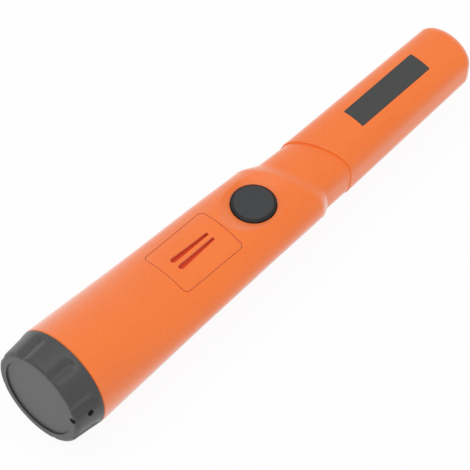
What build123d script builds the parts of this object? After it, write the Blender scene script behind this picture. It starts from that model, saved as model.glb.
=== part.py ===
# Hand-held waterproof metal detector: a tapering handle, a screw battery cap and a flat search probe.
# X runs along the tool from the cap to the tip, Y is to the left, Z is up through the push button.
# While the pieces are made, x is counted from the cap's end face. Export moves the middle to the origin.
import math
import os
from build123d import *

overall_length = 239.2
wall = 2.6
fit_gap = 0.3
bond_gap = 0.1

# Handle, from the cap's seam to the shoulder in front of the button
seam_x = 13.9
seam_radius = 22.6
shoulder_x = 135.3
shoulder_half_width = 18.5
shoulder_power = 2.1
shoulder_length = 8.1
shoulder_side_power = 2.0
crease_sharpness = 0.5
slant_start_x = 106.0
deck_half_height = 12.3
flare_end_x = 68.0
flare_bend = 10.5
flare_side_power = 1.4
seam_bevel = 0.5
seam_gap = 0.15
rim_wall = 2.4

# Neck between the shoulder and the probe sleeve. Its crease and its seam both run aslant.
neck_rear_half_width = 15.0
neck_rear_top = 10.2
neck_half_width = 14.5
neck_top = 9.4
neck_bottom = -12.2
neck_length = 13.9
crease_across = -0.34
crease_up = -0.07
seam_across = -0.36
seam_up = 0.24
spigot_length = 17.0
throat_inset = 4.8
neck_seal_width = 2.0
neck_seal_depth = 0.9
neck_seal_inset = 10.0

# Probe sleeve. Its section, like the neck's, is crowned on top, upright at the sides and leans in.
sleeve_rear_half_width = 15.0
sleeve_rear_top = 10.2
sleeve_rear_bottom = -12.75
sleeve_tip_half_width = 13.2
sleeve_tip_top = 12.2
sleeve_tip_bottom = -8.1
crown_power = 2.05
side_power = 3.4
probe_lean = 0.08
sleeve_wall = 2.0
sleeve_rim_rounding = 0.5
tip_rounding = 4.5
tip_slant = 10.0
tip_bow = 45.0
tip_wall = 3.0
label_shift = 0.8
label_length = 39.7
label_width = 10.3
label_thickness = 0.35
label_corner = 0.4

# Battery cap
cap_flute_count = 8
cap_flute_depth = 1.5
cap_flute_angle = 19.0
cap_flute_power = 5
cap_flute_inset = 1.2
cap_flute_fade = 2.6
cap_seam_step = 0.1
cap_end_step = 1.3
cap_end_rounding = 1.8
cap_rounding_sweep = 75.0
cap_end_wall = 3.6
cap_rim_width = 4.0
cap_disc_thickness = 0.7
cap_disc_sink = 0.8
plug_wall = 2.4
plug_length = 7.0
plug_end_gap = 0.4
cap_bore_gap = 0.5
cap_seal_thickness = 1.5
cap_seal_squeeze_gap = 0.15
cap_seal_inset = 2.0
lanyard_bore_radius = 1.4
lanyard_inset = 2.1
lanyard_angle = 77.5
lanyard_side_x = 7.4

# Nine-volt block battery and its contacts
battery_case_length = 46.4
battery_width = 26.5
battery_height = 17.5
battery_corner = 2.5
terminal_spacing = 12.7
terminal_height = 2.1
stud_radius = 2.9
socket_radius = 4.2
contact_wall = 0.6
contact_gap = 0.3
contact_reach = 4.0
contact_board_thickness = 1.6
pad_thickness = 4.0
pad_side_gap = 2.3
pad_gap = 0.3

# Inner frame, which carries the battery and the circuit board
frame_wall = 1.2
frame_setback = 5.8
battery_gap = 0.35
bulkhead_thickness = 2.5
rail_inner_y = 9.2
rail_width = 3.0
rail_height = 3.4
front_bar_x = 126.0
front_bar_thickness = 3.0

# Circuit board and what is soldered to it
board_top = -0.5
board_thickness = 1.6
board_half_width = 12.6
board_gap = 0.8
board_end_x = 125.4
screw_radius = 0.95
screw_length = 3.6
screw_head_radius = 2.0
screw_head_height = 1.4
screw_inset = 3.6
screw_front_inset = 11.4
sounder_radius = 7.0
sounder_height = 9.0
sounder_mouth_radius = 1.4
sounder_mouth_depth = 1.0
chip_size = 9.0
chip_height = 1.5
chip_x = 96.0
chip_y = 6.0
transistor_length = 6.5
transistor_width = 6.0
transistor_height = 2.3
transistor_x = 107.6
transistor_y = 3.6
capacitor_radius = 4.0
capacitor_length = 10.5
capacitor_x = 95.3
capacitor_y = -7.0
connector_length = 5.0
connector_width = 6.0
connector_height = 3.0
connector_x = 118.4
connector_y = -7.4
lead_radius = 0.7
lead_y = 3.6
lead_z = 4.2
lead_bend = 3.0
lead_reach = 8.0

# Sound panel over the sounder
panel_x = 86.6
panel_length = 33.0
panel_half_width = 11.85
panel_corner = 2.2
panel_thickness = 1.2
panel_gap = 0.3
panel_sink = 0.07
slot_length = 18.4
slot_rear_width = 2.5
slot_front_width = 1.5
slot_rear_offset = 2.15
slot_front_offset = 1.65
slot_x = 86.6
membrane_thickness = 0.3
membrane_radius = 11.0
sound_port_radius = 6.0

# Push button and its switch
button_x = 121.0
button_hole_radius = 9.6
button_gap = 0.35
button_seat_z = 9.3
button_seat_radius = 9.8
dish_slope = 23.8
dish_height = 6.0
button_lip = 1.6
button_flange_radius = 10.7
button_flange_thickness = 1.5
button_dome_height = 0.9
button_shoulder_height = 0.4
button_pad_radius = 8.0
button_edge_rounding = 0.5
button_stem_radius = 2.2
button_travel = 0.8
boss_wall = 3.2
boss_bottom = 3.4
boot_thickness = 0.9
boot_hole_gap = 0.4
switch_size = 6.0
switch_height = 2.1
switch_stem_radius = 1.7
switch_stem_gap = 0.15
switch_stem_reach = 0.9
switch_contact_gap = 0.05

# Vibration motor under the board
motor_radius = 3.0
motor_length = 11.0
motor_x = 100.0
motor_drop = 3.9
motor_saddle_width = 8.4
motor_saddle_length = 9.0
motor_shaft_radius = 0.6
motor_shaft_gap = 0.05
motor_shaft_seat = 6.0
weight_radius = 2.9
weight_length = 4.0
weight_gap = 0.7

# Search coil in the probe
rod_radius = 4.0
rod_seat = 4.0
former_wall = 1.0
former_flange_thickness = 1.5
former_side_gap = 0.4
coil_step = 0.5
holder_thickness = 5.0
rear_holder_gap = 2.7
front_holder_inset = 13.0
rod_gap = 0.1
cable_radius = 1.1
cable_gap = 0.3
cable_wall = 0.8
cable_run = 12.0
cable_neck_run = 10.0
cable_rear_bend = 12.0
cable_front_bend = 16.0

# Fineness of the drawn sections
oval_points = 32
cap_outline_points = 96
handle_spans = 8
shoulder_spans = 4
cap_fade_spans = 5

# Places that follow from the sizes above
neck_x = shoulder_x + shoulder_length
sleeve_x = neck_x + neck_length
sleeve_start_x = sleeve_x - seam_radius / 2
label_x = (sleeve_x + overall_length) / 2 + label_shift - label_length / 2
cap_length = seam_x - seam_gap
bore_radius = seam_radius - rim_wall
bore_end_x = cap_length + plug_length + plug_end_gap
plug_radius = bore_radius - cap_bore_gap
cap_seam_radius = seam_radius - cap_seam_step
cap_end_radius = seam_radius - cap_end_step
cap_disc_radius = cap_end_radius - cap_rim_width
lanyard_ring_radius = cap_end_radius - lanyard_inset
pad_radius = plug_radius - plug_wall - pad_side_gap
battery_x = cap_end_wall + bond_gap + pad_thickness + pad_gap
frame_start_x = bore_end_x + frame_setback
board_bottom = board_top - board_thickness
terminal_x = battery_x + battery_case_length
contact_board_x = terminal_x + contact_reach
bulkhead_x = contact_board_x + contact_board_thickness
board_x = bulkhead_x + bulkhead_thickness + board_gap
lip_bottom = button_seat_z - button_lip
boss_bore_radius = button_flange_radius + button_gap
flange_top = lip_bottom - button_gap
flange_bottom = flange_top - button_flange_thickness
switch_top = board_top + switch_height
switch_stem_top = switch_top + switch_stem_reach
motor_z = board_bottom - motor_drop
rear_holder_x = sleeve_x + spigot_length + rear_holder_gap
front_holder_x = overall_length - front_holder_inset
rod_start_x = rear_holder_x + holder_thickness - rod_seat
rod_end_x = front_holder_x + rod_seat
former_start_x = rear_holder_x + holder_thickness + fit_gap
former_end_x = front_holder_x - fit_gap


def sleeve_sizes(x):
    # Half width, top and bottom of the probe sleeve's outside at x.
    share = (x - sleeve_x) / (overall_length - sleeve_x)
    half_width = sleeve_rear_half_width + (sleeve_tip_half_width - sleeve_rear_half_width) * share
    top = sleeve_rear_top + (sleeve_tip_top - sleeve_rear_top) * share
    bottom = sleeve_rear_bottom + (sleeve_tip_bottom - sleeve_rear_bottom) * share
    return half_width, top, bottom


# The coil lies level, between the lowest top and the highest bottom that the sleeve has along it.
_, coil_room_top, _ = sleeve_sizes(former_start_x)
_, _, coil_room_bottom = sleeve_sizes(former_end_x)
rod_z = (coil_room_top + coil_room_bottom) / 2
former_flange_radius = (coil_room_top - coil_room_bottom) / 2 - sleeve_wall - former_side_gap
cable_z = rod_z - rod_radius - rod_gap - cable_wall - cable_gap - cable_radius


def signed_power(value, power):
    return math.copysign(abs(value) ** power, value)


def eased(share):
    # From 0 to 1, level at both ends.
    return share * share * (3 - 2 * share)


def oval(x, half_width, top, bottom, powers, lean=0.0, aslant=0.0):
    # A rounded section of the tool at x, flatter on top and at the sides the higher the two powers are.
    # Lean makes it narrower at the top, and aslant, from 0 to 1, turns its plane from square to the axis
    # to the slant of the shoulder's crease.
    top_power, upright_power = powers
    height = (top - bottom) / 2
    middle = (top + bottom) / 2
    points = []
    for i in range(oval_points):
        angle = 2 * math.pi * i / oval_points
        across = signed_power(math.cos(angle), 2 / top_power)
        up = signed_power(math.sin(angle), 2 / upright_power)
        y = half_width * across * (1 - lean * up)
        z = middle + height * up
        points.append((x + aslant * (crease_across * y + crease_up * z), y, z))
    return make_face(Spline(*points, periodic=True))


def x_disc(x, radius, length, y=0.0, z=0.0):
    # A cylinder along X, from x forwards.
    return Pos(x + length / 2, y, z) * Rot(0, 90, 0) * Cylinder(radius, length)


def z_disc(x, y, bottom, top, radius):
    return Pos(x, y, (bottom + top) / 2) * Cylinder(radius, top - bottom)


def block(x_range, y_range, z_range):
    size = [high - low for low, high in (x_range, y_range, z_range)]
    middle = [(high + low) / 2 for low, high in (x_range, y_range, z_range)]
    return Pos(*middle) * Box(*size)


def handle_half_height(x):
    # It falls straight from the cap's seam and then bends softly into the flat deck.
    def above_deck(place):
        to_deck = flare_end_x - place
        return to_deck + math.hypot(to_deck, flare_bend)
    return deck_half_height + (seam_radius - deck_half_height) * above_deck(x) / above_deck(seam_x)


def handle_section(x, inset):
    share = (x - seam_x) / (shoulder_x - seam_x)
    half_width = seam_radius + (shoulder_half_width - seam_radius) * share ** flare_side_power
    half_height = handle_half_height(x)
    power = 2 + (shoulder_power - 2) * share
    aslant = max(0, (x - slant_start_x) / (shoulder_x - slant_start_x))
    return oval(x, half_width - inset, half_height - inset, inset - half_height, (power, power), 0, aslant)


def shoulder_section(share, inset):
    # From the handle's front, at 0, to the neck, at 1. The top eases down, and the sides turn in.
    soft = eased(share)
    narrow = crease_sharpness * share ** shoulder_side_power + (1 - crease_sharpness) * soft
    half_width = shoulder_half_width + (neck_rear_half_width - shoulder_half_width) * narrow
    half_height = handle_half_height(shoulder_x)
    top = half_height + (neck_rear_top - half_height) * soft
    bottom = -half_height + (neck_bottom + half_height) * share
    top_power = shoulder_power + (crown_power - shoulder_power) * share
    upright_power = shoulder_power + (side_power - shoulder_power) * share
    x = shoulder_x + shoulder_length * share
    return oval(x, half_width - inset, top - inset, bottom + inset, (top_power, upright_power),
                probe_lean * share, 1.0)


def handle_form(inset, start_x=seam_x):
    stations = [start_x + (shoulder_x - start_x) * i / handle_spans for i in range(handle_spans + 1)]
    return loft([handle_section(x, inset) for x in stations])


def shoulder_form(inset):
    return loft([shoulder_section(i / shoulder_spans, inset) for i in range(shoulder_spans + 1)])


def neck_section(x, half_width, top, inset):
    return oval(x, half_width - inset, top - inset, neck_bottom + inset, (crown_power, side_power),
                probe_lean, 1.0)


def neck_form(length):
    # It narrows evenly from the shoulder to the seam, and on past the seam before that cuts it off.
    share = length / neck_length
    half_width = neck_rear_half_width + (neck_half_width - neck_rear_half_width) * share
    top = neck_rear_top + (neck_top - neck_rear_top) * share
    return loft([neck_section(neck_x, neck_rear_half_width, neck_rear_top, 0),
                 neck_section(neck_x + length, half_width, top, 0)])


def throat_form(length):
    return extrude(neck_section(neck_x, neck_half_width, neck_top, throat_inset), length, dir=(1, 0, 0))


def behind_seam():
    # All the room on the cap's side of the slanting plane where the sleeve meets the neck.
    facing = Plane((sleeve_x, 0, 0), z_dir=(1, -seam_across, -seam_up))
    room = 4 * seam_radius
    return facing * Box(room, room, room, align=(Align.CENTER, Align.CENTER, Align.MAX))


def sleeve_section(x, inset):
    half_width, top, bottom = sleeve_sizes(x)
    return oval(x, half_width - inset, top - inset, bottom + inset, (crown_power, side_power), probe_lean)


def sleeve_form(inset, start_x, end_x):
    return loft([sleeve_section(start_x, inset), sleeve_section(end_x, inset)])


def panel_prism(length, half_width, corner, x):
    plate = RectangleRounded(length, 2 * half_width, corner)
    return extrude(Pos(x, 0, 0) * plate, seam_radius)


def make_handle_shell():
    outer = handle_form(0) + shoulder_form(0) + (neck_form(2 * neck_length) & behind_seam())
    outer += sleeve_form(sleeve_wall + bond_gap, sleeve_x, sleeve_x + spigot_length)
    outer = chamfer(outer.edges().sort_by(Axis.X)[0], seam_bevel)
    boss = z_disc(button_x, 0, boss_bottom, seam_radius, boss_bore_radius + boss_wall)
    boss = boss & (handle_form(wall / 2) + shoulder_form(wall / 2))
    hollow = handle_form(wall, bore_end_x) + shoulder_form(wall)
    hollow += throat_form(2 * seam_radius)
    shell = outer - hollow - x_disc(seam_x, bore_radius, bore_end_x - seam_x) + boss
    # The dished seat round the button, its hole, and the bore behind the lip
    dish_radius = button_seat_radius + dish_height / math.tan(math.radians(dish_slope))
    dish = Cone(button_seat_radius, dish_radius, dish_height)
    shell -= Pos(button_x, 0, button_seat_z + dish_height / 2) * dish
    shell -= z_disc(button_x, 0, lip_bottom, seam_radius, button_hole_radius)
    shell -= z_disc(button_x, 0, boss_bottom, lip_bottom, boss_bore_radius)
    # The pocket for the sound panel, the pocket for its membrane, and the sound port
    panel_skin = handle_form(-wall) - handle_form(panel_thickness + panel_gap)
    shell -= panel_skin & panel_prism(panel_length, panel_half_width, panel_corner, panel_x)
    membrane_depth = panel_thickness + panel_gap + membrane_thickness
    membrane_skin = handle_form(panel_thickness) - handle_form(membrane_depth)
    shell -= membrane_skin & z_disc(slot_x, 0, 0, seam_radius, membrane_radius + bond_gap)
    shell -= z_disc(slot_x, 0, 0, seam_radius, sound_port_radius)
    # The groove that holds the neck seal
    seal_x = sleeve_x + neck_seal_inset
    groove = sleeve_form(sleeve_wall, seal_x, seal_x + neck_seal_width)
    groove -= sleeve_form(sleeve_wall + neck_seal_depth, seal_x, seal_x + neck_seal_width)
    return shell - groove


def make_neck_seal():
    seal_x = sleeve_x + neck_seal_inset + bond_gap / 2
    width = neck_seal_width - bond_gap
    ring = sleeve_form(sleeve_wall + bond_gap / 2, seal_x, seal_x + width)
    return ring - sleeve_form(sleeve_wall + neck_seal_depth - bond_gap / 2, seal_x, seal_x + width)


def label_prism(gap):
    face = RectangleRounded(label_length + 2 * gap, label_width + 2 * gap, label_corner)
    return extrude(Pos(label_x + label_length / 2, 0, 0) * face, seam_radius)


def beyond_tip(inset):
    # All the room in front of the tip's face, which is bowed and leans back towards the bottom. The face
    # meets the top just so far out that the rounded tip ends at the overall length.
    slope = math.tan(math.radians(tip_slant))
    corner_x = overall_length + tip_rounding * (slope + math.hypot(1, slope) - 1)
    facing = Plane((corner_x, 0, sleeve_tip_top), x_dir=(0, 1, 0), z_dir=(1, 0, -slope))
    room = 4 * seam_radius
    front = Box(room, room, room, align=(Align.CENTER, Align.CENTER, Align.MIN))
    nose = Rot(90, 0, 0) * Cylinder(tip_bow - inset, room)
    return facing * Pos(0, 0, -tip_bow) * (front - nose)


def make_probe_sleeve():
    outer = sleeve_form(0, sleeve_start_x, overall_length + tip_rounding) - behind_seam() - beyond_tip(0)
    outer = fillet(outer.faces().sort_by(Axis.X)[-1].edges(), tip_rounding)
    outer = fillet(outer.faces().sort_by(Axis.X)[0].edges(), sleeve_rim_rounding)
    hollow = sleeve_form(sleeve_wall, sleeve_start_x, overall_length) - beyond_tip(tip_wall)
    recess = sleeve_form(-sleeve_wall, sleeve_x, overall_length)
    recess -= sleeve_form(label_thickness + bond_gap / 2, sleeve_x, overall_length)
    return outer - hollow - (recess & label_prism(bond_gap))


def make_probe_label():
    skin = sleeve_form(0, sleeve_x, overall_length) - sleeve_form(label_thickness, sleeve_x, overall_length)
    return skin & label_prism(0)


def make_sound_panel():
    skin = handle_form(panel_sink) - handle_form(panel_thickness)
    inner_length = panel_length - 2 * panel_gap
    inner_width = panel_half_width - panel_gap
    panel = skin & panel_prism(inner_length, inner_width, panel_corner - panel_gap, panel_x)
    return panel - [slot_cut(1), slot_cut(-1)]


def slot_cut(side):
    # One of the two sound slots, narrower and nearer the middle towards the tip.
    rear_x = slot_x - slot_length / 2
    front_x = slot_x + slot_length / 2
    rear_y = side * slot_rear_offset
    front_y = side * slot_front_offset
    rear_left = (rear_x, rear_y + slot_rear_width / 2)
    rear_right = (rear_x, rear_y - slot_rear_width / 2)
    front_left = (front_x, front_y + slot_front_width / 2)
    front_right = (front_x, front_y - slot_front_width / 2)
    outline = [
        Line(rear_left, front_left),
        ThreePointArc(front_left, (front_x + slot_front_width / 2, front_y), front_right),
        Line(front_right, rear_right),
        ThreePointArc(rear_right, (rear_x - slot_rear_width / 2, rear_y), rear_left),
    ]
    return extrude(make_face(outline), seam_radius)


def make_sound_membrane():
    depth = panel_thickness + panel_gap
    skin = handle_form(depth) - handle_form(depth + membrane_thickness)
    return skin & z_disc(slot_x, 0, 0, seam_radius, membrane_radius)


def cap_outline(x):
    # Broad lobes between narrow flutes, which fade out short of the seam.
    radius = cap_end_radius + (cap_seam_radius - cap_end_radius) * x / cap_length
    fade = min(1, max(0, (cap_length - cap_flute_inset - x) / cap_flute_fade))
    depth = cap_flute_depth * eased(fade)
    points = []
    for i in range(cap_outline_points):
        angle = 2 * math.pi * i / cap_outline_points
        wave = math.cos(cap_flute_count * (angle - math.radians(cap_flute_angle)))
        r = radius - depth * ((1 + wave) / 2) ** cap_flute_power
        points.append((x, -r * math.sin(angle), r * math.cos(angle)))
    return make_face(Spline(*points, periodic=True))


def rounded_end():
    # A turned form that rounds the cap's end edge. Past the rounding it stands clear of the lobes.
    sweep = math.radians(cap_rounding_sweep)
    flat_radius = cap_end_radius - cap_end_rounding * math.sin(sweep)
    arc = [(cap_end_rounding * (1 - math.cos(a)), 0, flat_radius + cap_end_rounding * math.sin(a))
           for a in (0, sweep / 2, sweep)]
    clear_radius = arc[2][2] + cap_length / math.tan(sweep)
    far_x = arc[2][0] + cap_length
    rest = Polyline(arc[2], (far_x, 0, clear_radius), (far_x, 0, 0), (0, 0, 0), arc[0])
    return revolve(make_face([ThreePointArc(*arc), *rest.edges()]), Axis.X)


def make_battery_cap():
    fade_x = cap_length - cap_flute_inset - cap_flute_fade
    fading = [fade_x + cap_flute_fade * i / cap_fade_spans for i in range(cap_fade_spans + 1)]
    cap = loft([cap_outline(x) for x in [0, *fading, cap_length]], ruled=True) & rounded_end()
    cap += x_disc(cap_length, plug_radius, plug_length)
    cap -= x_disc(cap_end_wall, plug_radius - plug_wall, cap_length + plug_length)
    cap -= x_disc(0, cap_disc_radius + bond_gap, cap_disc_sink + cap_disc_thickness)
    seal_floor = bore_radius - cap_seal_squeeze_gap - cap_seal_thickness
    groove = x_disc(seam_x + cap_seal_inset - cap_seal_thickness / 2, seam_radius, cap_seal_thickness)
    cap -= groove - x_disc(seam_x, seal_floor, plug_length)
    return cap - lanyard_bores()


def lanyard_bores():
    # A hole in the end face and a hole in the side, which meet inside the cap's wall.
    angle = math.radians(lanyard_angle)
    y = -lanyard_ring_radius * math.sin(angle)
    z = lanyard_ring_radius * math.cos(angle)
    along = x_disc(0, lanyard_bore_radius, lanyard_side_x, y, z)
    side = Pos(lanyard_side_x, y, z) * Rot(lanyard_angle, 0, 0) * Cylinder(
        lanyard_bore_radius, seam_radius, align=(Align.CENTER, Align.CENTER, Align.MIN))
    corner = Pos(lanyard_side_x, y, z) * Sphere(lanyard_bore_radius)
    return along + side + corner


def make_cap_disc():
    return x_disc(cap_disc_sink, cap_disc_radius, cap_disc_thickness)


def make_cap_seal():
    ring_radius = bore_radius - cap_seal_squeeze_gap - cap_seal_thickness / 2
    ring = Torus(ring_radius, (cap_seal_thickness - bond_gap) / 2)
    return Pos(seam_x + cap_seal_inset, 0, 0) * Rot(0, 90, 0) * ring


def make_battery_pad():
    return x_disc(cap_end_wall + bond_gap, pad_radius, pad_thickness)


def battery_block(gap, start_x, length):
    face = Plane.YZ * RectangleRounded(battery_width + 2 * gap, battery_height + 2 * gap, battery_corner)
    return Pos(start_x, 0, 0) * extrude(face, length)


def make_battery_terminals():
    stud = x_disc(terminal_x, stud_radius, terminal_height, terminal_spacing / 2)
    socket = x_disc(terminal_x, socket_radius, terminal_height, -terminal_spacing / 2)
    return [stud, socket]


def make_battery_contacts():
    cups = []
    for radius, y in ((stud_radius, terminal_spacing / 2), (socket_radius, -terminal_spacing / 2)):
        inner = radius + contact_gap
        depth = terminal_height + contact_gap
        cup = x_disc(terminal_x + contact_gap, inner + contact_wall, contact_reach - contact_gap, y)
        cups.append(cup - x_disc(terminal_x, inner, depth, y))
    return cups


def make_contact_board():
    face = Plane.YZ * RectangleRounded(battery_width, battery_height, battery_corner)
    return Pos(contact_board_x, 0, 0) * extrude(face, contact_board_thickness)


def screw_places():
    xs = (board_x + screw_inset, board_end_x - screw_front_inset)
    y = rail_inner_y + rail_width / 2
    return [(x, side * y) for x in xs for side in (1, -1)]


def make_inner_frame():
    room = handle_form(wall + fit_gap, frame_start_x + fit_gap)
    end_x = bulkhead_x + bulkhead_thickness
    tube_length = bulkhead_x - frame_start_x
    tube = battery_block(battery_gap + frame_wall, frame_start_x + fit_gap, tube_length)
    tube -= battery_block(battery_gap, frame_start_x, tube_length + fit_gap)
    big = 2 * seam_radius
    bulkhead = block((bulkhead_x, end_x), (-big, big), (-big, big))
    rails = [block((bulkhead_x, front_bar_x + front_bar_thickness),
                   sorted((side * rail_inner_y, side * (rail_inner_y + rail_width))),
                   (board_bottom - rail_height, board_bottom)) for side in (1, -1)]
    front_bar = block((front_bar_x, front_bar_x + front_bar_thickness), (-big, big), (-big, board_bottom))
    frame = (bulkhead + rails + front_bar + tube) & room
    for x, y in screw_places():
        frame -= z_disc(x, y, board_bottom - rail_height, board_bottom, screw_radius)
    for side in (1, -1):
        frame -= x_disc(bulkhead_x, lead_radius + cable_gap, bulkhead_thickness, side * lead_y, lead_z)
    return frame


def make_main_board():
    board = block((board_x, board_end_x), (-board_half_width, board_half_width), (board_bottom, board_top))
    for x, y in screw_places():
        board -= z_disc(x, y, board_bottom, board_top, screw_radius + fit_gap)
    return board


def make_board_screws():
    screws = []
    for x, y in screw_places():
        shank = z_disc(x, y, board_top - screw_length, board_top, screw_radius - bond_gap / 2)
        screws.append(shank + z_disc(x, y, board_top, board_top + screw_head_height, screw_head_radius))
    return screws


def on_board(x, y, length, width, height):
    return block((x, x + length), (y - width / 2, y + width / 2), (board_top, board_top + height))


def make_sounder():
    top = board_top + sounder_height
    can = z_disc(slot_x, 0, board_top, top, sounder_radius)
    return can - z_disc(slot_x, 0, top - sounder_mouth_depth, top, sounder_mouth_radius)


def make_reservoir_capacitor():
    middle_z = board_top + capacitor_radius
    return x_disc(capacitor_x, capacitor_radius, capacitor_length, capacitor_y, middle_z)


def make_battery_leads():
    # Two wires from the contact board, through the bulkhead and down to the circuit board.
    leads = []
    for side in (1, -1):
        y = side * lead_y
        turn_x = bulkhead_x + bulkhead_thickness + lead_reach
        points = [(bulkhead_x, y, lead_z), (turn_x, y, lead_z), (turn_x, y, board_top)]
        path = FilletPolyline(*points, radius=lead_bend)
        leads.append(sweep(Plane(points[0], x_dir=(0, 1, 0), z_dir=(1, 0, 0)) * Circle(lead_radius), path))
    return leads


def make_coil_cable():
    # From the connector on the board, through the neck, to the rear flange of the coil former.
    start_x = connector_x + connector_length
    start_z = board_top + connector_height / 2
    points = [(start_x, connector_y, start_z),
              (start_x + cable_run, connector_y, start_z),
              (neck_x + cable_neck_run, 0, cable_z),
              (former_start_x, 0, cable_z)]
    path = FilletPolyline(*points, radius=(cable_rear_bend, cable_front_bend))
    section = Plane(points[0], x_dir=(0, 1, 0), z_dir=(1, 0, 0)) * Circle(cable_radius)
    return sweep(section, path)


def make_button():
    # A flange under the lip, a round flank in the hole, a slightly domed pad on top, and a stem below.
    head_radius = button_hole_radius - button_gap
    shoulder_z = button_seat_z + button_shoulder_height
    button = z_disc(button_x, 0, flange_bottom, flange_top, button_flange_radius)
    head = z_disc(button_x, 0, flange_bottom, shoulder_z, head_radius)
    crown = Pos(button_x, 0, shoulder_z) * Cone(
        head_radius, button_pad_radius, button_dome_height, align=(Align.CENTER, Align.CENTER, Align.MIN))
    crown = fillet(crown.edges().sort_by(Axis.Z)[-1], button_edge_rounding)
    stem_bottom = switch_stem_top + switch_contact_gap
    return button + head + crown + z_disc(button_x, 0, stem_bottom, flange_bottom, button_stem_radius)


def make_button_boot():
    boot = z_disc(button_x, 0, boss_bottom, boss_bottom + boot_thickness, boss_bore_radius - bond_gap / 2)
    return boot - z_disc(button_x, 0, 0, button_seat_z, button_stem_radius + boot_hole_gap)


def make_tact_switch():
    body = on_board(button_x - switch_size / 2, 0, switch_size, switch_size, switch_height)
    return body - z_disc(button_x, 0, board_top + fit_gap, switch_top, switch_stem_radius + switch_stem_gap)


def make_switch_stem():
    bottom = switch_stem_top - switch_height - switch_stem_reach + button_travel + 2 * fit_gap
    return z_disc(button_x, 0, bottom, switch_stem_top, switch_stem_radius)


def make_vibration_motor():
    can = x_disc(motor_x, motor_radius, motor_length, 0, motor_z)
    hole_x = motor_x + motor_length - motor_shaft_seat
    return can - x_disc(hole_x, motor_shaft_radius + motor_shaft_gap, motor_shaft_seat, 0, motor_z)


def make_motor_saddle():
    start_x = motor_x + (motor_length - motor_saddle_length) / 2
    saddle = block((start_x, start_x + motor_saddle_length),
                   (-motor_saddle_width / 2, motor_saddle_width / 2), (motor_z, board_bottom))
    return saddle - x_disc(motor_x, motor_radius + bond_gap / 2, motor_length, 0, motor_z)


def make_motor_shaft():
    start_x = motor_x + motor_length - motor_shaft_seat + weight_gap / 2
    return x_disc(start_x, motor_shaft_radius, motor_shaft_seat + weight_length, 0, motor_z)


def make_eccentric_weight():
    x = motor_x + motor_length + weight_gap
    weight = x_disc(x, weight_radius, weight_length, 0, motor_z)
    weight &= block((x, x + weight_length), (-weight_radius, weight_radius),
                    (motor_z - weight_radius, motor_z + motor_shaft_radius * 2))
    return weight - x_disc(x, motor_shaft_radius, weight_length, 0, motor_z)


def make_holder(x, cable_hole):
    # A plate that fills the sleeve and carries one end of the ferrite rod.
    plate = sleeve_form(sleeve_wall + bond_gap, x, x + holder_thickness) - beyond_tip(tip_wall + bond_gap)
    seat_x = rod_start_x if cable_hole else x
    plate -= x_disc(seat_x, rod_radius + rod_gap, rod_seat, 0, rod_z)
    if cable_hole:
        plate -= x_disc(x, cable_radius + cable_gap, holder_thickness, 0, cable_z)
    return plate


def make_coil_former():
    length = former_end_x - former_start_x
    former = x_disc(former_start_x, rod_radius + rod_gap + former_wall, length, 0, rod_z)
    for x in (former_start_x, former_end_x - former_flange_thickness):
        former += x_disc(x, former_flange_radius, former_flange_thickness, 0, rod_z)
    return former - x_disc(former_start_x, rod_radius + rod_gap, length, 0, rod_z)


def make_search_coil():
    start_x = former_start_x + former_flange_thickness + bond_gap
    length = former_end_x - former_flange_thickness - bond_gap - start_x
    inner = rod_radius + rod_gap + former_wall + bond_gap / 2
    coil = x_disc(start_x, former_flange_radius - coil_step, length, 0, rod_z)
    return coil - x_disc(start_x, inner, length, 0, rod_z)


def make_parts():
    rod_length = rod_end_x - rod_start_x
    return {
        "handle_shell": make_handle_shell(),
        "probe_sleeve": make_probe_sleeve(),
        "probe_label": make_probe_label(),
        "neck_seal": make_neck_seal(),
        "sound_panel": make_sound_panel(),
        "sound_membrane": make_sound_membrane(),
        "battery_cap": make_battery_cap(),
        "cap_disc": make_cap_disc(),
        "cap_seal": make_cap_seal(),
        "battery_pad": make_battery_pad(),
        "battery": battery_block(0, battery_x, battery_case_length),
        "battery_terminals": make_battery_terminals(),
        "battery_contacts": make_battery_contacts(),
        "contact_board": make_contact_board(),
        "inner_frame": make_inner_frame(),
        "main_board": make_main_board(),
        "board_screws": make_board_screws(),
        "sounder": make_sounder(),
        "microcontroller": on_board(chip_x, chip_y, chip_size, chip_size, chip_height),
        "driver_transistor": on_board(transistor_x, transistor_y, transistor_length, transistor_width,
                                      transistor_height),
        "reservoir_capacitor": make_reservoir_capacitor(),
        "coil_connector": on_board(connector_x, connector_y, connector_length, connector_width,
                                   connector_height),
        "battery_leads": make_battery_leads(),
        "coil_cable": make_coil_cable(),
        "push_button": make_button(),
        "button_boot": make_button_boot(),
        "tact_switch": make_tact_switch(),
        "switch_stem": make_switch_stem(),
        "vibration_motor": make_vibration_motor(),
        "motor_saddle": make_motor_saddle(),
        "motor_shaft": make_motor_shaft(),
        "eccentric_weight": make_eccentric_weight(),
        "rear_rod_holder": make_holder(rear_holder_x, True),
        "front_rod_holder": make_holder(front_holder_x, False),
        "ferrite_rod": x_disc(rod_start_x, rod_radius, rod_length, 0, rod_z),
        "coil_former": make_coil_former(),
        "search_coil": make_search_coil(),
    }


def main():
    os.makedirs("parts", exist_ok=True)
    to_origin = Pos(-overall_length / 2, 0, 0)
    for name, shape in make_parts().items():
        solids = shape if isinstance(shape, list) else [shape]
        placed = [to_origin * solid for solid in solids]
        export_step(placed[0] if len(placed) == 1 else Compound(placed), f"parts/{name}.step")


main()
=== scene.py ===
# Hand-held waterproof metal detector: finishes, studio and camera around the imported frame
import math

import bmesh
import bpy
from mathutils import Matrix, Vector


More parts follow.
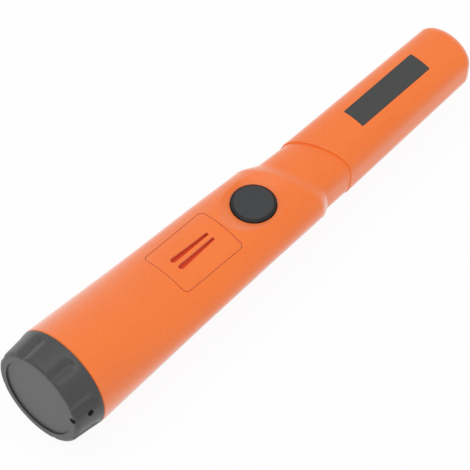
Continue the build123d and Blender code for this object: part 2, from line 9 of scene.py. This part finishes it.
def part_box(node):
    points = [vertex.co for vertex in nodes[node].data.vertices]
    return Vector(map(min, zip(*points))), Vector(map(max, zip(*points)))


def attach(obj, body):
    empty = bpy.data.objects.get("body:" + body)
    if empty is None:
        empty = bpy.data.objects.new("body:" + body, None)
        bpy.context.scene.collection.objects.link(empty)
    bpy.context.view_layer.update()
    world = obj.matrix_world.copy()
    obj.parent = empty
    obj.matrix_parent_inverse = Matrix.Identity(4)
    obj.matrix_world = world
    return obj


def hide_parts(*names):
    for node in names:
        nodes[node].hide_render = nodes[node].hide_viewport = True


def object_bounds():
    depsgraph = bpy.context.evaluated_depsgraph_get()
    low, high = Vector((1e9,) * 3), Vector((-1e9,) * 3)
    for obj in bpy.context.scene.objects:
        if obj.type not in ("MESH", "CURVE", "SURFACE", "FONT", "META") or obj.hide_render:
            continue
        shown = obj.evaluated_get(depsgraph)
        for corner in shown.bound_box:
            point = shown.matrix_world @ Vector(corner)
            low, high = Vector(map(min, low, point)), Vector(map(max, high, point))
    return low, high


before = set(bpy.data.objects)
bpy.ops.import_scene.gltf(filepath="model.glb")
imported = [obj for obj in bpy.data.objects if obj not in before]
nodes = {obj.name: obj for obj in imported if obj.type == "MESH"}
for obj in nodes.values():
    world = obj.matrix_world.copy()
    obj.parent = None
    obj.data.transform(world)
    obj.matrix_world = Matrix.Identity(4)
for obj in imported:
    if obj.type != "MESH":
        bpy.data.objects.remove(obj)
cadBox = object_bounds()
scene = bpy.context.scene
scene.view_settings.view_transform = "Standard"
print("frame loaded:", len(nodes), "nodes")


def hexColour(code):
    channels = [int(code[i:i + 2], 16) / 255 for i in (1, 3, 5)]
    linear = [c / 12.92 if c <= 0.04045 else ((c + 0.055) / 1.055) ** 2.4 for c in channels]
    return (*linear, 1.0)


def addNode(tree, kind, inputs=None, **settings):
    node = tree.nodes.new("ShaderNode" + kind)
    for name, value in settings.items():
        setattr(node, name, value)
    for name, value in (inputs or {}).items():
        if isinstance(value, bpy.types.NodeSocket):
            tree.links.new(value, node.inputs[name])
        else:
            node.inputs[name].default_value = value
    return node


def newMaterial(name):
    # A material with nothing in it but its principled shader and its output
    material = bpy.data.materials.new(name)
    material.use_nodes = True
    tree = material.node_tree
    tree.nodes.clear()
    shader = addNode(tree, "BsdfPrincipled")
    addNode(tree, "OutputMaterial", {"Surface": shader.outputs["BSDF"]})
    return material, tree, shader


def dress(material, *nodeNames):
    for name in nodeNames:
        nodes[name].data.materials.clear()
        nodes[name].data.materials.append(material)


mm = 0.001


# Moulded plastics
# A spark-eroded mould leaves an even satin grain of about 0.2 mm. It is drawn at grainWidth,
# as coarse as it needs to be to show in the render.
mouldSurface = {
    "grainDetail": 2.0,
    "grainFineness": 0.6,
    "flowDetail": 3.0,
    "glossSpread": 0.06,  # how far the grain moves the roughness either way
    "plainSheenRoughness": 0.4,
}


def mouldedPlastic(look):
    material, tree, shader = newMaterial(look["name"])
    place = addNode(tree, "TexCoord").outputs["Object"]
    grain = addNode(tree, "TexNoise", {"Vector": place, "Scale": 1 / look["grainWidth"],
                                       "Detail": mouldSurface["grainDetail"],
                                       "Roughness": mouldSurface["grainFineness"]})
    flow = addNode(tree, "TexNoise", {"Vector": place, "Scale": 1 / look["flowWidth"],
                                      "Detail": mouldSurface["flowDetail"]})
    tint = addNode(tree, "Mix", {"Factor": flow.outputs["Fac"], "A": hexColour(look["colour"]),
                                 "B": hexColour(look["colourDeep"])}, data_type="RGBA")
    speck = addNode(tree, "Mix", {"Factor": grain.outputs["Fac"], "A": tint.outputs["Result"],
                                  "B": hexColour(look["colourGrain"])}, data_type="RGBA",
                    blend_type="SOFT_LIGHT")
    gloss = addNode(tree, "MapRange", {"Value": grain.outputs["Fac"],
                                       "To Min": look["roughness"] - mouldSurface["glossSpread"],
                                       "To Max": look["roughness"] + mouldSurface["glossSpread"]})
    bump = addNode(tree, "Bump", {"Height": grain.outputs["Fac"], "Strength": look["grainStrength"],
                                  "Distance": look["grainDepth"]})
    tree.links.new(speck.outputs["Result"], shader.inputs["Base Color"])
    tree.links.new(gloss.outputs["Result"], shader.inputs["Roughness"])
    tree.links.new(bump.outputs["Normal"], shader.inputs["Normal"])
    shader.inputs["IOR"].default_value = look["ior"]
    shader.inputs["Sheen Weight"].default_value = look.get("sheen", 0.0)
    sheenRoughness = look.get("sheenRoughness", mouldSurface["plainSheenRoughness"])
    shader.inputs["Sheen Roughness"].default_value = sheenRoughness
    return material


orangeAbs = {
    "name": "orange_abs_spark_eroded",  # satin, paler where it is seen along the surface
    "colour": "#F5821E",
    "colourDeep": "#F07B19",
    "colourGrain": "#808080",
    "grainWidth": 0.7 * mm,
    "grainDepth": 0.03 * mm,
    "grainStrength": 0.5,
    "flowWidth": 22 * mm,
    "roughness": 0.32,
    "ior": 1.53,
    "sheen": 0.8,
    "sheenRoughness": 0.4,
}
charcoalAbs = {
    "name": "charcoal_abs_spark_eroded",  # matt and dark, with a soft grey sheen on its rounded edges
    "colour": "#404040",
    "colourDeep": "#3B3B3C",
    "colourGrain": "#7C7C7C",
    "grainWidth": 0.6 * mm,
    "grainDepth": 0.03 * mm,
    "grainStrength": 0.6,
    "flowWidth": 14 * mm,
    "roughness": 0.44,
    "ior": 1.53,
    "sheen": 0.25,
    "sheenRoughness": 0.4,
}
discFilm = {
    "name": "grey_polycarbonate_film",  # a bare matt film with a hard-coated face
    "colour": "#5D5D5E",
    "colourDeep": "#5A5A5B",
    "colourGrain": "#7E7E7E",
    "grainWidth": 0.4 * mm,
    "grainDepth": 0.01 * mm,
    "grainStrength": 0.4,
    "flowWidth": 18 * mm,
    "roughness": 0.48,
    "ior": 1.58,
}
labelFilm = {
    "name": "dark_polyester_film",  # smooth and even, with a slight satin gloss
    "colour": "#262928",
    "colourDeep": "#232625",
    "colourGrain": "#7E7E7E",
    "grainWidth": 0.4 * mm,
    "grainDepth": 0.008 * mm,
    "grainStrength": 0.4,
    "flowWidth": 20 * mm,
    "roughness": 0.42,
    "ior": 1.6,
}
buttonRubber = {
    "name": "charcoal_silicone_rubber",  # soft, matt, and a little bluish
    "colour": "#3A3C3E",
    "colourDeep": "#37393B",
    "colourGrain": "#7E7E7E",
    "grainWidth": 0.5 * mm,
    "grainDepth": 0.02 * mm,
    "grainStrength": 0.5,
    "flowWidth": 9 * mm,
    "roughness": 0.5,
    "ior": 1.41,
}
membraneSilicone = {
    "name": "silicone_membrane_painted_slot_shade",  # a thin waterproof skin under the sound slots, its red-orange tint painted shade for the reddened bounced light deep in the slots
    "colour": "#DE4A16",
    "colourDeep": "#D54513",
    "colourGrain": "#7A7A7A",
    "grainWidth": 0.5 * mm,
    "grainDepth": 0.02 * mm,
    "grainStrength": 0.4,
    "flowWidth": 5 * mm,
    "roughness": 0.55,
    "ior": 1.41,
}
sealRubber = {
    "name": "black_nitrile_rubber",
    "colour": "#1C1C1D",
    "colourDeep": "#171718",
    "colourGrain": "#7A7A7A",
    "grainWidth": 0.5 * mm,
    "grainDepth": 0.01 * mm,
    "grainStrength": 0.4,
    "flowWidth": 5 * mm,
    "roughness": 0.42,
    "ior": 1.52,
}
blackNylon = {
    "name": "black_glass_filled_nylon",
    "colour": "#222324",
    "colourDeep": "#1D1E1F",
    "colourGrain": "#868686",
    "grainWidth": 0.5 * mm,
    "grainDepth": 0.03 * mm,
    "grainStrength": 0.5,
    "flowWidth": 8 * mm,
    "roughness": 0.52,
    "ior": 1.53,
}
whiteNylon = {
    "name": "natural_nylon_connector",
    "colour": "#DAD6C8",
    "colourDeep": "#D2CDBD",
    "colourGrain": "#808080",
    "grainWidth": 0.4 * mm,
    "grainDepth": 0.01 * mm,
    "grainStrength": 0.4,
    "flowWidth": 3 * mm,
    "roughness": 0.45,
    "ior": 1.53,
}
chipEpoxy = {
    "name": "black_epoxy_package",
    "colour": "#202021",
    "colourDeep": "#1B1B1C",
    "colourGrain": "#8A8A8A",
    "grainWidth": 0.2 * mm,
    "grainDepth": 0.01 * mm,
    "grainStrength": 0.6,
    "flowWidth": 2 * mm,
    "roughness": 0.6,
    "ior": 1.55,
}
ferriteCeramic = {
    "name": "grey_ferrite_ceramic",
    "colour": "#35363A",
    "colourDeep": "#2B2C30",
    "colourGrain": "#909090",
    "grainWidth": 0.3 * mm,
    "grainDepth": 0.02 * mm,
    "grainStrength": 0.6,
    "flowWidth": 4 * mm,
    "roughness": 0.62,
    "ior": 1.9,
}
padFoam = {
    "name": "black_closed_cell_foam",
    "colour": "#2A2A2B",
    "colourDeep": "#222223",
    "colourGrain": "#969696",
    "grainWidth": 0.8 * mm,
    "grainDepth": 0.2 * mm,
    "grainStrength": 0.9,
    "flowWidth": 6 * mm,
    "roughness": 0.85,
    "ior": 1.45,
}
cablePvc = {
    "name": "black_pvc_cable",
    "colour": "#242425",
    "colourDeep": "#1E1E1F",
    "colourGrain": "#7C7C7C",
    "grainWidth": 0.4 * mm,
    "grainDepth": 0.01 * mm,
    "grainStrength": 0.4,
    "flowWidth": 5 * mm,
    "roughness": 0.4,
    "ior": 1.53,
}


# Painted shade: the rubber's colour is darkened on the bevel all round the button's top, standing in for the
# shade on its steep flank and in the gap round it.
buttonRimPaintedShade = {
    "colour": "#0C0C0D",
    "topRadius": 7.9 * mm,
    "darkRadius": 8.4 * mm,  # from here outwards the painted shade is full
}


def paintRimShade(material, look, name):
    tree = material.node_tree
    shader = next(node for node in tree.nodes if node.type == "BSDF_PRINCIPLED")
    low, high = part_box(name)
    place = addNode(tree, "TexCoord").outputs["Object"]
    aside = addNode(tree, "VectorMath", {0: place, 1: (low + high) / 2}, operation="SUBTRACT")
    level = addNode(tree, "VectorMath", {0: aside.outputs["Vector"], 1: (1, 1, 0)}, operation="MULTIPLY")
    radius = addNode(tree, "VectorMath", {0: level.outputs["Vector"]}, operation="LENGTH")
    share = addNode(tree, "MapRange", {"Value": radius.outputs["Value"], "From Min": look["topRadius"],
                                       "From Max": look["darkRadius"]})
    top = shader.inputs["Base Color"].links[0].from_socket
    # The painted shade colour is mixed in by distance from the button's axis.
    tint = addNode(tree, "Mix", {"Factor": share.outputs["Result"], "A": top,
                                 "B": hexColour(look["colour"])}, data_type="RGBA")
    tree.links.new(tint.outputs["Result"], shader.inputs["Base Color"])
    return material


orangeMoulding = mouldedPlastic(orangeAbs)
charcoalMoulding = mouldedPlastic(charcoalAbs)
dress(orangeMoulding, "handle_shell", "sound_panel", "probe_sleeve")
dress(charcoalMoulding, "battery_cap")
dress(mouldedPlastic(discFilm), "cap_disc")
dress(mouldedPlastic(labelFilm), "probe_label")
dress(paintRimShade(mouldedPlastic(buttonRubber), buttonRimPaintedShade, "push_button"), "push_button")
dress(mouldedPlastic(membraneSilicone), "sound_membrane")
dress(mouldedPlastic(sealRubber), "cap_seal", "neck_seal", "button_boot")
dress(mouldedPlastic(blackNylon), "inner_frame", "rear_rod_holder", "front_rod_holder", "coil_former",
      "motor_saddle", "sounder", "tact_switch", "switch_stem")
dress(mouldedPlastic(whiteNylon), "coil_connector")
dress(mouldedPlastic(chipEpoxy), "microcontroller", "driver_transistor")
dress(mouldedPlastic(ferriteCeramic), "ferrite_rod")
dress(mouldedPlastic(cablePvc), "coil_cable")
print("plastics and rubbers done")


# Metals
metalSurface = {
    "lineDetail": 3.0,
    "lineStrength": 0.3,
    "glossSpread": 0.08,
}


def drawnMetal(look):
    material, tree, shader = newMaterial(look["name"])
    place = addNode(tree, "TexCoord").outputs["Object"]
    lines = addNode(tree, "Mapping", {"Vector": place, "Scale": look["lineScale"]})
    brush = addNode(tree, "TexNoise", {"Vector": lines.outputs["Vector"], "Scale": 1 / look["lineWidth"],
                                       "Detail": metalSurface["lineDetail"]})
    tint = addNode(tree, "Mix", {"Factor": brush.outputs["Fac"], "A": hexColour(look["colour"]),
                                 "B": hexColour(look["colourDeep"])}, data_type="RGBA")
    gloss = addNode(tree, "MapRange", {"Value": brush.outputs["Fac"],
                                       "To Min": look["roughness"] - metalSurface["glossSpread"],
                                       "To Max": look["roughness"] + metalSurface["glossSpread"]})
    bump = addNode(tree, "Bump", {"Height": brush.outputs["Fac"], "Strength": metalSurface["lineStrength"],
                                  "Distance": look["lineDepth"]})
    tree.links.new(tint.outputs["Result"], shader.inputs["Base Color"])
    tree.links.new(gloss.outputs["Result"], shader.inputs["Roughness"])
    tree.links.new(bump.outputs["Normal"], shader.inputs["Normal"])
    shader.inputs["Metallic"].default_value = 1.0
    return material


nickelPlate = {
    "name": "nickel_plated_steel",
    "colour": "#C9C6BE",
    "colourDeep": "#B8B4AA",
    "lineScale": (0.15, 1.0, 1.0),
    "lineWidth": 0.25 * mm,
    "lineDepth": 0.004 * mm,
    "roughness": 0.28,
}
sinteredTungsten = {
    "name": "sintered_tungsten",
    "colour": "#8E8A85",
    "colourDeep": "#76726D",
    "lineScale": (1.0, 1.0, 1.0),
    "lineWidth": 0.2 * mm,
    "lineDepth": 0.01 * mm,
    "roughness": 0.5,
}
capacitorCan = {
    "name": "brushed_aluminium_can",
    "colour": "#C6C8CA",
    "colourDeep": "#AEB1B4",
    "lineScale": (1.0, 0.1, 0.1),
    "lineWidth": 0.2 * mm,
    "lineDepth": 0.004 * mm,
    "roughness": 0.36,
}
dress(drawnMetal(nickelPlate), "battery_terminals", "battery_contacts", "board_screws", "vibration_motor",
      "motor_shaft")
dress(drawnMetal(sinteredTungsten), "eccentric_weight")
dress(drawnMetal(capacitorCan), "reservoir_capacitor")


# Enamelled copper wire, wound side by side, shows as fine rings round the former, with painted shade in the
# grooves between turns.
def woundCopper(look):
    material, tree, shader = newMaterial(look["name"])
    place = addNode(tree, "TexCoord").outputs["Object"]
    # A wave repeats every 2 pi / 20 of its scaled length.
    rings = addNode(tree, "TexWave", {"Vector": place, "Scale": math.pi / 10 / look["wireWidth"],
                                      "Distortion": look["unevenness"], "Detail": 1.0},
                    bands_direction="X")
    # colourDeep at the wave's low is painted shade in the grooves between turns.
    tint = addNode(tree, "Mix", {"Factor": rings.outputs["Fac"], "A": hexColour(look["colourDeep"]),
                                 "B": hexColour(look["colour"])}, data_type="RGBA")
    bump = addNode(tree, "Bump", {"Height": rings.outputs["Fac"], "Strength": look["grooveStrength"],
                                  "Distance": look["wireWidth"] / 3})
    tree.links.new(tint.outputs["Result"], shader.inputs["Base Color"])
    tree.links.new(bump.outputs["Normal"], shader.inputs["Normal"])
    shader.inputs["Metallic"].default_value = 1.0
    shader.inputs["Roughness"].default_value = look["roughness"]
    return material


coilCopper = {
    "name": "enamelled_copper_winding",
    "colour": "#C9763F",
    "colourDeep": "#7C3D1B",
    "wireWidth": 0.35 * mm,
    "unevenness": 0.4,
    "grooveStrength": 0.8,
    "roughness": 0.32,
}
dress(woundCopper(coilCopper), "search_coil")


# Glass-fibre laminate under a green solder mask, with paler copper tracks below the mask
def boardLaminate(look):
    material, tree, shader = newMaterial(look["name"])
    place = addNode(tree, "TexCoord").outputs["Object"]
    tracks = addNode(tree, "TexBrick", {"Vector": place, "Scale": 1 / look["trackSpacing"],
                                        "Mortar Size": look["trackShare"],
                                        "Mortar Smooth": look["trackSoftness"],
                                        "Color1": hexColour(look["mask"]), "Color2": hexColour(look["mask"]),
                                        "Mortar": hexColour(look["track"])})
    weave = addNode(tree, "TexNoise", {"Vector": place, "Scale": 1 / look["weaveWidth"], "Detail": 1.0})
    bump = addNode(tree, "Bump", {"Height": tracks.outputs["Fac"], "Strength": look["trackStrength"],
                                  "Distance": look["trackDepth"]})
    gloss = addNode(tree, "MapRange", {"Value": weave.outputs["Fac"], "To Min": look["roughness"][0],
                                       "To Max": look["roughness"][1]})
    tree.links.new(tracks.outputs["Color"], shader.inputs["Base Color"])
    tree.links.new(gloss.outputs["Result"], shader.inputs["Roughness"])
    tree.links.new(bump.outputs["Normal"], shader.inputs["Normal"])
    return material


greenBoard = {
    "name": "green_solder_mask_board",
    "mask": "#0F5A33",
    "track": "#2F8A55",
    "trackSpacing": 3.2 * mm,
    "trackShare": 0.03,  # of the spacing
    "trackSoftness": 0.2,
    "trackDepth": 0.03 * mm,
    "trackStrength": 0.4,
    "weaveWidth": 0.6 * mm,
    "roughness": (0.28, 0.42),
}
dress(boardLaminate(greenBoard), "main_board", "contact_board")


# Two wires in one node: the left one, at +Y, is red, and the right one is black.
def pairedPvc(look):
    material, tree, shader = newMaterial(look["name"])
    place = addNode(tree, "TexCoord").outputs["Object"]
    axes = addNode(tree, "SeparateXYZ", {"Vector": place})
    leftSide = addNode(tree, "Math", {0: axes.outputs["Y"], 1: 0.0}, operation="GREATER_THAN")
    tint = addNode(tree, "Mix", {"Factor": leftSide.outputs["Value"], "A": hexColour(look["right"]),
                                 "B": hexColour(look["left"])}, data_type="RGBA")
    ripple = addNode(tree, "TexNoise", {"Vector": place, "Scale": 1 / look["rippleWidth"]})
    gloss = addNode(tree, "MapRange", {"Value": ripple.outputs["Fac"], "To Min": look["roughness"][0],
                                       "To Max": look["roughness"][1]})
    tree.links.new(tint.outputs["Result"], shader.inputs["Base Color"])
    tree.links.new(gloss.outputs["Result"], shader.inputs["Roughness"])
    shader.inputs["IOR"].default_value = look["ior"]
    return material


leadPvc = {
    "name": "red_and_black_pvc_leads",
    "left": "#B3201C",
    "right": "#1D1D1E",
    "rippleWidth": 0.6 * mm,
    "roughness": (0.32, 0.46),
    "ior": 1.53,
}
dress(pairedPvc(leadPvc), "battery_leads")


# A block battery's steel jacket: plain dark lacquer with a copper-coloured band at the contact end
def batteryJacket(look):
    material, tree, shader = newMaterial(look["name"])
    place = addNode(tree, "TexCoord").outputs["Object"]
    axes = addNode(tree, "SeparateXYZ", {"Vector": place})
    band = addNode(tree, "Math", {0: axes.outputs["X"], 1: look["bandStart"]}, operation="GREATER_THAN")
    tint = addNode(tree, "Mix", {"Factor": band.outputs["Value"], "A": hexColour(look["jacket"]),
                                 "B": hexColour(look["band"])}, data_type="RGBA")
    haze = addNode(tree, "TexNoise", {"Vector": place, "Scale": 1 / look["hazeWidth"]})
    gloss = addNode(tree, "MapRange", {"Value": haze.outputs["Fac"], "To Min": look["roughness"][0],
                                       "To Max": look["roughness"][1]})
    tree.links.new(tint.outputs["Result"], shader.inputs["Base Color"])
    tree.links.new(gloss.outputs["Result"], shader.inputs["Roughness"])
    shader.inputs["Metallic"].default_value = look["metalShare"]
    return material


batteryLook = {
    "name": "lacquered_steel_jacket",
    "jacket": "#26282C",
    "band": "#B5703A",
    "bandStart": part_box("battery")[1].x - 14 * mm,
    "hazeWidth": 3 * mm,
    "roughness": (0.26, 0.38),
    "metalShare": 0.6,  # the lacquer lets some of the steel show
}
dress(batteryJacket(batteryLook), "battery")
print("metals, board and battery done")


# New pieces
pieceMesh = {
    "mergeDistance": 0.001 * mm,
    "sharpAngle": math.radians(35),
}


def placePiece(name, form, material, body):
    bmesh.ops.remove_doubles(form, verts=form.verts, dist=pieceMesh["mergeDistance"])
    bmesh.ops.recalc_face_normals(form, faces=form.faces)
    mesh = bpy.data.meshes.new(name)
    form.to_mesh(mesh)
    form.free()
    mesh.shade_smooth()
    mesh.set_sharp_from_angle(angle=pieceMesh["sharpAngle"])
    mesh.materials.append(material)
    piece = bpy.data.objects.new(name, mesh)
    scene.collection.objects.link(piece)
    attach(piece, body)
    return piece


# A rib on the cap's plug and a rib in the handle's bore, half a pitch apart. Both climb at the pitch of
# the cap's own turn and travel, so each runs in the other's track and they never meet.
threads = {
    "pitch": 3.0 * mm,
    "stepsPerTurn": 96,
    "footWidth": 1.2 * mm,
    "crestWidth": 0.45 * mm,
    "plugFoot": 19.6 * mm,  # just inside the plug's skin
    "plugCrest": 20.05 * mm,
    "plugTurns": 0.8,
    "plugSetback": 3.3 * mm,  # from the plug's end to the rib's first turn
    "boreFoot": 20.3 * mm,  # just inside the bore's wall
    "boreCrest": 19.85 * mm,
    "boreTurns": 0.65,
    "boreLead": -1 / 6,  # turns by which the rib in the bore starts earlier
}


def makeThread(look, foot, crest, startX, lead, turns):
    form = bmesh.new()
    corners = [(-look["footWidth"] / 2, foot), (-look["crestWidth"] / 2, crest),
               (look["crestWidth"] / 2, crest), (look["footWidth"] / 2, foot)]
    profile = form.faces.new([form.verts.new((startX + along, 0, out)) for along, out in corners])
    leadTurn = Matrix.Rotation(2 * math.pi * lead, 3, "X")
    bmesh.ops.rotate(form, verts=form.verts, cent=(0, 0, 0), matrix=leadTurn)
    bmesh.ops.translate(form, verts=form.verts, vec=(look["pitch"] * lead, 0, 0))
    steps = round(look["stepsPerTurn"] * turns)
    bmesh.ops.spin(form, geom=[profile, *profile.edges, *profile.verts], cent=(0, 0, 0), axis=(1, 0, 0),
                   dvec=(look["pitch"] * turns / steps, 0, 0), angle=2 * math.pi * turns, steps=steps)
    return form


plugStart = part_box("battery_cap")[1].x - threads["plugSetback"]
plugRib = makeThread(threads, threads["plugFoot"], threads["plugCrest"], plugStart, 0, threads["plugTurns"])
placePiece("cap_thread", plugRib, charcoalMoulding, "cap")
boreRib = makeThread(threads, threads["boreFoot"], threads["boreCrest"], plugStart + threads["pitch"] / 2,
                     threads["boreLead"], threads["boreTurns"])
placePiece("bore_thread", boreRib, orangeMoulding, "body")
print("threads done")


# A die-cut foam disc: square-cut at the back, soft at the front edge and crowned towards the battery
padCut = {
    "sides": 72,
    "edgeSoftness": 0.9 * mm,
    "edgeSteps": 5,
    "crown": 0.5 * mm,
    "crownRings": 5,
}


def makeBatteryPad(look, material):
    low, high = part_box("battery_pad")
    radius = (high.z - low.z) / 2
    form = bmesh.new()
    bmesh.ops.create_circle(form, cap_ends=True, segments=look["sides"], radius=radius)
    bmesh.ops.rotate(form, verts=form.verts, cent=(0, 0, 0), matrix=Matrix.Rotation(math.pi / 2, 3, "Y"))
    bmesh.ops.translate(form, verts=form.verts, vec=(low.x, 0, 0))
    raised = bmesh.ops.extrude_face_region(form, geom=form.faces[:])["geom"]
    front = next(part for part in raised if isinstance(part, bmesh.types.BMFace))
    bmesh.ops.translate(form, verts=front.verts, vec=(high.x - low.x - look["crown"], 0, 0))
    bmesh.ops.bevel(form, geom=list(front.edges), offset=look["edgeSoftness"], offset_type="OFFSET",
                    affect="EDGES", segments=look["edgeSteps"], profile=0.5, material=-1)
    front = max(form.faces, key=lambda face: face.calc_center_median().x)
    rings = look["crownRings"]
    ringWidth = (radius - look["edgeSoftness"]) / (rings + 1)
    for ring in range(rings):
        bmesh.ops.inset_region(form, faces=[front], thickness=ringWidth, use_even_offset=True)
        # Each ring rises less than the one outside it, and together they rise by the crown.
        rise = look["crown"] * 2 * (rings - ring) / rings / (rings + 1)
        bmesh.ops.translate(form, verts=front.verts, vec=(rise, 0, 0))
    pad = placePiece("foam_battery_pad", form, material, "pad")
    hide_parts("battery_pad")


makeBatteryPad(padCut, mouldedPlastic(padFoam))
print("battery pad done")


# Studio: a white sweep, a broad soft key and an even white surround
studio = {
    "floorSize": 6.0,
    "floorDrop": 0.3 * mm,
    "floorColour": "#F4F4F4",
    "floorGlow": 0.93,  # share of plain white that the camera sees on the floor
    "surround": 0.78,
    "keyPower": 5.8,
    "keySize": 1.5,
    "keyPlace": (-0.3, 0.0, 1.2),
}


def lightPathShare(tree):
    # One where the ray comes from the camera, a mirror or glass, so that these show the white studio
    path = addNode(tree, "LightPath")
    share = addNode(tree, "Math", {0: path.outputs["Is Camera Ray"], 1: path.outputs["Is Glossy Ray"]},
                    operation="ADD")
    return addNode(tree, "Math", {0: share.outputs["Value"], 1: path.outputs["Is Transmission Ray"]},
                   operation="ADD", use_clamp=True).outputs["Value"]


def makeFloor(look):
    form = bmesh.new()
    bmesh.ops.create_grid(form, x_segments=1, y_segments=1, size=look["floorSize"] / 2)
    bmesh.ops.translate(form, verts=form.verts, vec=(0, 0, cadBox[0].z - look["floorDrop"]))
    mesh = bpy.data.meshes.new("studio_floor")
    form.to_mesh(mesh)
    form.free()
    floor = bpy.data.objects.new("studio_floor", mesh)
    scene.collection.objects.link(floor)
    material = bpy.data.materials.new("white_paper_sweep")
    material.use_nodes = True
    tree = material.node_tree
    tree.nodes.clear()
    paper = addNode(tree, "BsdfDiffuse", {"Color": hexColour(look["floorColour"])})
    glow = addNode(tree, "Emission", {"Color": (1, 1, 1, 1), "Strength": 1.0})
    share = addNode(tree, "Math", {0: lightPathShare(tree), 1: look["floorGlow"]}, operation="MULTIPLY")
    mix = addNode(tree, "MixShader", {0: share.outputs["Value"], 1: paper.outputs["BSDF"],
                                      2: glow.outputs["Emission"]})
    addNode(tree, "OutputMaterial", {"Surface": mix.outputs["Shader"]})
    mesh.materials.append(material)


def makeSurround(look):
    world = bpy.data.worlds.new("white_surround")
    world.use_nodes = True
    tree = world.node_tree
    tree.nodes.clear()
    strength = addNode(tree, "MapRange", {"Value": lightPathShare(tree), "To Min": look["surround"],
                                          "To Max": 1.0})
    sky = addNode(tree, "Background", {"Color": (1, 1, 1, 1), "Strength": strength.outputs["Result"]})
    addNode(tree, "OutputWorld", {"Surface": sky.outputs["Background"]})
    scene.world = world


def makeKey(look):
    lamp = bpy.data.lights.new("soft_key", "AREA")
    lamp.energy = look["keyPower"]
    lamp.shape = "DISK"
    lamp.size = look["keySize"]
    key = bpy.data.objects.new("soft_key", lamp)
    key.location = look["keyPlace"]
    key.rotation_mode = "QUATERNION"
    key.rotation_quaternion = (-Vector(look["keyPlace"])).to_track_quat("-Z", "Y")
    scene.collection.objects.link(key)


makeFloor(studio)
makeSurround(studio)
makeKey(studio)
print("studio done")


# The photograph's camera: high, behind the cap and to the right, with a slight roll
view = {
    "lookAt": (5.4 * mm, 0, 0),
    "azimuth": -49.222,
    "elevation": 54.476,
    "roll": 3.23,
    "distance": 2.0,
    "asideRight": -9.749 * mm,
    "asideUp": -9.172 * mm,
    "lens": 386.2,
    "sensor": 36,
    "nearest": 0.05,
    "farthest": 50,
}


def makeCamera(look):
    azimuth = math.radians(look["azimuth"])
    elevation = math.radians(look["elevation"])
    roll = math.radians(look["roll"])
    back = Vector((math.sin(azimuth) * math.cos(elevation), -math.cos(azimuth) * math.cos(elevation),
                   math.sin(elevation)))
    level = Vector((0, 0, 1)).cross(back).normalized()
    upright = back.cross(level)
    right = math.cos(roll) * level + math.sin(roll) * upright
    up = -math.sin(roll) * level + math.cos(roll) * upright
    place = Vector(look["lookAt"]) + look["distance"] * back
    place += look["asideRight"] * right + look["asideUp"] * up
    lens = bpy.data.cameras.new("photo_camera")
    lens.sensor_width = look["sensor"]
    lens.lens = look["lens"]
    lens.clip_start = look["nearest"]
    lens.clip_end = look["farthest"]
    camera = bpy.data.objects.new("photo_camera", lens)
    camera.matrix_world = Matrix.Translation(place) @ Matrix((right, up, back)).transposed().to_4x4()
    scene.collection.objects.link(camera)
    scene.camera = camera


makeCamera(view)
print("camera done")
